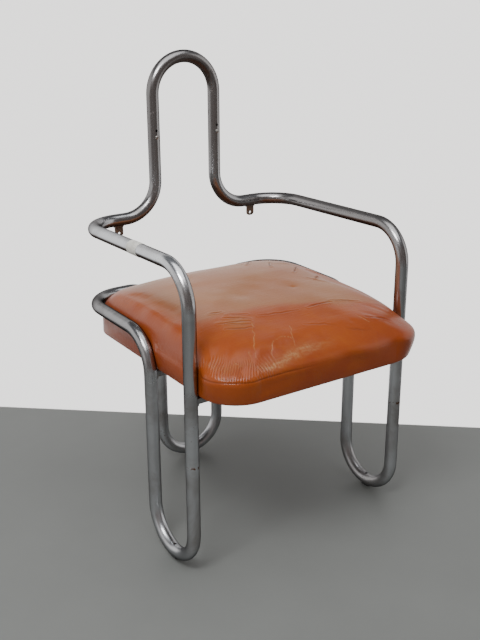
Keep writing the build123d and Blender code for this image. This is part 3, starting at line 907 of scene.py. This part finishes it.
def front_relief(points):
    """The front's relief: its depth, its upright wrinkles from -1 in the valleys to 1 on the tips, and
    the strength of the fold. The fold runs round the front at one height, a narrow valley between
    soft rolls, doubled here and there and fainter on the left. Short upright wrinkles cross the roll
    above it, except far to the right. Broad slanted folds cross the right half."""
    x, y, z = points.T
    ahead = step(-y, -FRONT_Y - 0.004, -FRONT_Y + 0.022)
    around = np.where(
        np.abs(x) < HALF_X - FRONT_CORNER, x, x + np.sign(x) * 0.8 * np.abs(y - FRONT))
    above = z - FOLD_Z
    off_fold = z - (FOLD_Z + 0.0020 * lattice_noise(points * [1, 1, 0.1], 0.034, 3))
    fade = 0.22 + 0.78 * step(-around, -0.02, 0.12)
    fade *= 0.75 + 0.35 * lattice_noise(points * [1, 1, 0], 0.04, 6)
    second = step(lattice_noise(points * [1, 1, 0.1], 0.03, 4), 0.0, 0.5)
    valley = bell(off_fold, 0.0011) + 0.6 * second * bell(off_fold - 0.0042, 0.0010)
    rolls = bell(off_fold - 0.0075, 0.0055) + 0.7 * bell(off_fold + 0.007, 0.005)
    phase = around + 0.0026 * lattice_noise(points * [1, 1, 0.30], 0.018, 5)
    phase += (0.10 + 0.35 * lattice_noise(points * [1, 1, 0], 0.05, 7)) * above
    pleats = np.cos(2 * math.pi * phase / PLEAT_PITCH)
    pleats = np.sign(pleats) * np.abs(pleats) ** 0.8
    patch = 0.20 + 0.80 * step(lattice_noise(points * [1, 1, 0.30], 0.009, 8), -0.55, 0.45)
    height = 0.0120 + 0.003 * lattice_noise(points * [1, 1, 0.0], 0.02, 9)
    band = np.exp(-np.abs((above - 0.0140) / height) ** 3) * step(-around, 0.10, 0.15)
    wrinkles = pleats * band * patch * ahead
    slant = np.cos((x * 0.9 + z * 1.3 - 0.60) / 0.017 + 1.5 * lattice_noise(points, 0.06, 10))
    broad = slant * step(x, -0.02, 0.09) * ahead * bell(z - 0.408, 0.026)
    depth = ahead * fade * (-0.0011 * valley + 0.0008 * rolls) + 0.0010 * wrinkles + 0.0018 * broad
    fold = ahead * fade * step(-around, 0.0, 0.12) * np.clip(valley, 0.0, 1.0)
    return depth, wrinkles, fold


def top_relief(points):
    """The top's relief: its depth and the strengths of its creases and of the splits in its finish.
    The depth is broad and small noise, straight creases whose depth falls off as a bell curve, and
    round hollows and swells of the same fall-off."""
    x, y, z = points.T
    on_top = step(z, 0.425, 0.445)
    depth = lattice_noise(points, 0.080, 11) * 0.0012 + lattice_noise(points, 0.030, 12) * 0.00050
    wander_x, wander_y = (0.0022 * lattice_noise(points, 0.012, seed) for seed in (13, 14))
    cut = np.zeros(len(points))
    for x0, y0, x1, y1, width, low in np.array(CREASES) / 1000:
        gap, share = segment_gap(x + wander_x, y + wander_y, x0, y0, x1, y1)
        strength = low * bell(gap, width) * np.sin(math.pi * (0.08 + 0.84 * share))
        depth += 0.5 * low * bell(gap - 2.6 * width, 1.5 * width) - strength
        cut = np.maximum(cut, strength / 0.001)
    split = np.zeros(len(points))
    for ends in np.array(SPLITS) / 1000:
        gap, _ = segment_gap(x + 1.6 * wander_x, y + 1.6 * wander_y, *ends)
        split = np.maximum(split, bell(gap, 0.0008))
    split *= 0.4 + 0.6 * step(lattice_noise(points, 0.009, 15), -0.6, 0.2)
    depth -= 0.0003 * split
    for cx, cy, radius, low in np.array(HOLLOWS) / 1000:
        depth -= low * bell(np.hypot(x - cx, y - cy), radius)
    return depth * on_top, cut * on_top, split * on_top


def leather_relief(points):
    """All of the seat's relief, along the normal, and the masks that the leather's colour uses. A painted
    sheen, the pale wall's reflection, pales the top behind a slanting line near the knee and in one glossy
    patch on its left. Along the front edge left of the middle the finish is rubbed pale, partly real wear and
    partly a painted highlight. The wrinkles' tips get a painted highlight, and the splits are real pale
    cracks. The creases, the fold and the wrinkles' valleys get painted shade, and so do the lower side, the
    two sides and the front's right end."""
    x, y, z = points.T
    front, wrinkles, fold = front_relief(points)
    top, crease_shade, split = top_relief(points)
    # The front edge left of the middle: rubbed pale, partly real wear and partly a painted highlight.
    edge_z = 0.4200 + 0.0125 * step(x, -0.15, -0.03)
    edge = bell(z - edge_z, 0.0060) * step(-y, 0.195, 0.235)
    edge *= step(x, -0.165, -0.125) * (1.0 - step(x, -0.07, 0.04))
    edge *= np.clip(0.62 + 0.55 * lattice_noise(points * [0.35, 1, 1], 0.0035, 22), 0.0, 1.0)
    # Painted highlights on the tips of the upright wrinkles.
    painted_tip_highlights = np.clip(wrinkles, 0.0, 1.0) * step(z, 0.414, 0.428)
    painted_tip_highlights *= step(lattice_noise(points, 0.01, 23), -0.7, 0.2)
    # Painted sheen: the top behind a slanting line near the knee is paled as if it mirrored the pale wall.
    knee_y = -0.111 - 0.21 * (x + 0.05) + 0.022 * lattice_noise(points, 0.05, 24)
    painted_sheen = step(y, knee_y - 0.016, knee_y + 0.020) * step(z, 0.425, 0.440)
    painted_sheen *= 1.0 - step(np.abs(x), 0.15, 0.215)
    # Painted reflection: one pale glossy patch on the top's left.
    painted_gloss_patch = bell(np.hypot(x + 0.120, y + 0.132), 0.026)
    low = 1.0 - step(z, BASE - 0.004, 0.412)
    side = step(np.abs(x), HALF_X - 0.045, HALF_X) * (1.0 - step(-y, 0.12, 0.20))
    right = step(x, 0.02, 0.20) * step(-y, 0.15, 0.23)
    masks = {
        "painted_sheen": np.maximum(painted_sheen, 0.9 * painted_gloss_patch) * (0.62 + 0.16 * lattice_noise(points, 0.06, 25)),
        # Painted shade in the top's creases, along the fold and in the upright wrinkles' valleys.
        "crease_shade": np.clip(crease_shade + 0.8 * fold + 0.45 * np.clip(-wrinkles, 0.0, 1.0), 0.0, 1.0),
        # Real pale splits, plus the front edge's wear and painted highlight and the wrinkles' painted
        # highlights.
        "wear_and_highlight": np.clip(0.7 * edge + 0.45 * painted_tip_highlights + 0.62 * split, 0.0, 1.0),
        # Painted shade: darker low down, along both sides and at the front's right end.
        "shaded": np.clip(0.15 * low + 0.35 * side + 0.36 * right, 0.0, 1.0),
    }
    return front + top, masks


def write_mask(mesh, name, values):
    """Keeps one number per vertex for a material to read."""
    mask = mesh.attributes.new(name, "FLOAT", "POINT")
    mask.data.foreach_set("value", values.astype(np.float32))


class CHAIR_OT_seat(bpy.types.Operator):
    """Makes the stuffed leather seat."""

    bl_idname = "chair.seat"
    bl_label = "Leather seat"

    def execute(self, context):
        settings = context.scene.chair_seat
        points, faces = seat_surface(settings, COLUMNS, ROWS)
        piece = bare_mesh("seat_cushion", points, faces)
        points = stuffed_points(piece, settings)
        mesh = piece.data
        write_points(mesh, clear_of_tubes(points))
        depth, masks = leather_relief(read_points(mesh))
        moved = read_points(mesh) + read_normals(mesh) * depth[:, None]
        write_points(mesh, clear_of_tubes(moved))
        for name, values in masks.items():
            write_mask(mesh, name, values)
        dress(piece, aged_leather(settings))
        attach(piece, BODY)
        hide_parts("seat_cover", "seat_foam")
        return {"FINISHED"}


# ---------------------------------------------------------------- the lining

LINING_GRID = 90           # points each way
LINING_POWER = 8.0         # of the superellipse that rounds its corners
LINING_THICK = 0.0003


class CHAIR_OT_lining(bpy.types.Operator):
    """Makes the thin cloth under the seat."""

    bl_idname = "chair.lining"
    bl_label = "Lining"

    def execute(self, context):
        wide, long = LINING_HIGH.x - LINING_LOW.x, LINING_HIGH.y - LINING_LOW.y
        u, v = np.meshgrid(np.linspace(-1, 1, LINING_GRID), np.linspace(-1, 1, LINING_GRID))
        reach = np.maximum(np.abs(u), np.abs(v)) / np.maximum(
            (np.abs(u) ** LINING_POWER + np.abs(v) ** LINING_POWER) ** (1 / LINING_POWER), 1e-9)
        middle = (LINING_LOW.y + LINING_HIGH.y) / 2
        x, y = u * reach * wide / 2, v * reach * long / 2 + middle
        pucker = lattice_noise(route(x.ravel(), y.ravel(), 0.0), 0.03, 31).reshape(x.shape)
        sag = (1 - u ** 4) * (1 - v ** 4) * (1 + pucker)
        points = route(x.ravel(), y.ravel(), (LINING_HIGH.z - 0.0002 - 0.0003 * sag).ravel())
        faces = grid_faces(LINING_GRID, LINING_GRID)[:, ::-1]
        piece = bare_mesh("lining_sheet", points, faces.tolist())
        dress(piece, lining_cloth())
        solid = piece.modifiers.new("thickness", "SOLIDIFY")
        solid.thickness = LINING_THICK
        solid.offset = 0.0
        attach(piece, BODY)
        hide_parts("seat_lining")
        return {"FINISHED"}


# ---------------------------------------------------------------- the frame and its fixings

def finish_nodes(names, material):
    """Gives CAD nodes one material."""
    for name in names:
        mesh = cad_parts[name].data
        mesh.materials.clear()
        mesh.materials.append(material)


class CHAIR_OT_frame(bpy.types.Operator):
    """Gives the bent tubes their worn chrome."""

    bl_idname = "chair.frame"
    bl_label = "Chrome frame"

    def execute(self, context):
        names = [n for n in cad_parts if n.startswith("tube_")]
        finish_nodes(names, worn_chrome(context.scene.chair_metal))
        return {"FINISHED"}


class CHAIR_OT_fixings(bpy.types.Operator):
    """Finishes the lugs, welds, bars, screws, glides, board and tape."""

    bl_idname = "chair.fixings"
    bl_label = "Fixings"

    def execute(self, context):
        metal = context.scene.chair_metal
        lugs = rusty_steel("rusty_lug", metal, (0.16, 0.14, 0.12), 0.47, 0.5)
        bars = rusty_steel("dull_bar", metal, (0.30, 0.30, 0.30), 0.34, 0.38)
        plain = rusty_steel("plain_fixing", metal, (0.42, 0.41, 0.39), 0.34, 0.32)
        finish_nodes(["pad_lugs", "lug_welds"], lugs)
        finish_nodes(["crossbar_front", "crossbar_rear", "crossbar_welds"], bars)
        finish_nodes(
            ["pad_screws", "seat_bolts", "seat_washers", "tee_nuts", "cover_staples", "joint_sleeves"], plain)
        finish_nodes(["foot_glides"], moulded_plastic())
        finish_nodes(["seat_board"], plywood())
        finish_nodes(["arm_tape"], tape_paper())
        return {"FINISHED"}


# ---------------------------------------------------------------- the stage

FLOOR_R = 3.2
CAMERA_AT = (-0.9878, -1.4378, 1.0449)
CAMERA_TURN = (33.846, 20.187, -0.223)   # to the right of +Y, down, and roll, in degrees
# Each light's place, the point it looks at and its size
KEY = (-1.3, -0.8, 2.3), (0.0, 0.0, 0.4), (0.9, 0.6)
FILL = (-0.2, -0.5, 2.7), (0.0, 0.0, 0.3), (2.4, 2.0)
LOW = (-1.5, -1.9, 0.35), (0.0, -0.1, 0.35), (1.6, 0.7)
WINDOW_WAY = (-0.93, 0.28, 0.24)         # the way to the lighter side of the room


def aim_camera(lens):
    """A camera at a place, turned about Z, tipped down and rolled."""
    yaw, pitch, roll = (math.radians(a) for a in CAMERA_TURN)
    data = bpy.data.cameras.new("camera")
    data.lens = lens
    data.sensor_width = 36.0
    camera = bpy.data.objects.new("camera", data)
    bpy.context.scene.collection.objects.link(camera)
    turn = Matrix.Rotation(-yaw, 4, "Z") @ Matrix.Rotation(math.pi / 2 - pitch, 4, "X")
    camera.matrix_world = Matrix.Translation(Vector(CAMERA_AT)) @ turn @ Matrix.Rotation(roll, 4, "Z")
    bpy.context.scene.camera = camera


def area_light(name, power, place, target, size):
    """A soft light, a rectangle that looks at a point."""
    data = bpy.data.lights.new(name, "AREA")
    data.shape = "RECTANGLE"
    data.size, data.size_y = size
    data.energy = power
    light = bpy.data.objects.new(name, data)
    bpy.context.scene.collection.objects.link(light)
    light.location = place
    light.rotation_euler = (Vector(target) - Vector(place)).to_track_quat("-Z", "Y").to_euler()
    return light


def surroundings(settings):
    """What the chrome mirrors: a pale wall on the far side, a dim cluttered room behind the camera
    that is lighter on one side, and a grey ceiling. All of it is dimmed, least straight ahead. The
    camera itself sees only the pale wall, undimmed."""
    world = bpy.data.worlds.new("studio")
    bpy.context.scene.world = world
    world.use_nodes = True
    tree = world.node_tree
    tree.nodes.clear()
    heading = tree.nodes.new("ShaderNodeTexCoord").outputs["Generated"]
    way = add(tree, "ShaderNodeSeparateXYZ", {0: heading}).outputs
    seen = tree.nodes.new("ShaderNodeLightPath").outputs["Is Camera Ray"]
    to_wall = vector_sum(tree, "DOT_PRODUCT", heading, WALL_WAY, "Value")
    to_window = vector_sum(tree, "DOT_PRODUCT", heading, WINDOW_WAY, "Value")
    clutter = ramp(tree, noise(tree, heading, 5.0, 3.0), [(0.42, 0.0), (0.62, 1.0)])
    colour = layers(tree, settings.room, [
        (clutter, 1.0, settings.room_light),
        (rise(tree, to_window, 0.80, 0.95, smooth=True), 0.7, settings.wall),
        (rise(tree, to_wall, -0.22, 0.02, smooth=True), 1.0, settings.wall),
        (rise(tree, way["Z"], 0.50, 0.62, smooth=True), 1.0, settings.ceiling),
        (seen, 1.0, settings.wall)])
    dimmed = rise(tree, way["Y"], 0.77, 0.86, smooth=True, to=(0.52, 0.72))
    strength = add(tree, "ShaderNodeMix", {0: seen, 2: dimmed, 3: 1.0}).outputs[0]
    back = add(tree, "ShaderNodeBackground", {"Color": colour, "Strength": strength})
    out = tree.nodes.new("ShaderNodeOutputWorld")
    tree.links.new(back.outputs[0], out.inputs["Surface"])


class CHAIR_OT_stage(bpy.types.Operator):
    """Makes the floor, the light and the camera."""

    bl_idname = "chair.stage"
    bl_label = "Stage"

    def execute(self, context):
        settings = context.scene.chair_stage
        turn = np.linspace(0.0, 2 * math.pi, 96, endpoint=False)
        rim = FLOOR_R * route(np.cos(turn), np.sin(turn), 0.0)
        floor = bare_mesh("floor", rim, [list(range(len(rim)))])
        floor.data.materials.append(studio_floor(settings))
        surroundings(settings)
        area_light("key", settings.key_power, *KEY)
        area_light("fill", settings.fill_power, *FILL)
        low = area_light("low", settings.low_power, *LOW)
        low.visible_glossy = False
        aim_camera(settings.lens)
        return {"FINISHED"}


# ---------------------------------------------------------------- panel and registration

class CHAIR_PT_panel(bpy.types.Panel):
    """Lists the settings and the steps in order."""

    bl_idname = "CHAIR_PT_panel"
    bl_label = "Armchair"
    bl_space_type = "VIEW_3D"
    bl_region_type = "UI"
    bl_category = "Armchair"

    def draw(self, context):
        layout = self.layout
        for name, group in GROUPS.items():
            box = layout.box()
            box.label(text=group.__doc__)
            for key in group.__annotations__:
                box.prop(getattr(context.scene, name), key)
        for kind in STEPS:
            layout.operator(kind.bl_idname)


GROUPS = {
    "chair_metal": ChairMetalSettings,
    "chair_seat": ChairSeatSettings,
    "chair_stage": ChairStageSettings,
}
STEPS = (CHAIR_OT_stage, CHAIR_OT_frame, CHAIR_OT_fixings, CHAIR_OT_seat, CHAIR_OT_lining)
CLASSES = (*GROUPS.values(), *STEPS, CHAIR_PT_panel)


def register():
    """Registers the classes and the settings."""
    for kind in CLASSES:
        bpy.utils.register_class(kind)
    for name, group in GROUPS.items():
        setattr(bpy.types.Scene, name, PointerProperty(type=group))


def unregister():
    """Takes the settings and the classes away again."""
    for name in GROUPS:
        delattr(bpy.types.Scene, name)
    for kind in reversed(CLASSES):
        bpy.utils.unregister_class(kind)


def main():
    """Makes the whole chair."""
    register()
    for kind in STEPS:
        area, name = kind.bl_idname.split(".")
        getattr(getattr(bpy.ops, area), name)()


if __name__ == "__main__":
    main()
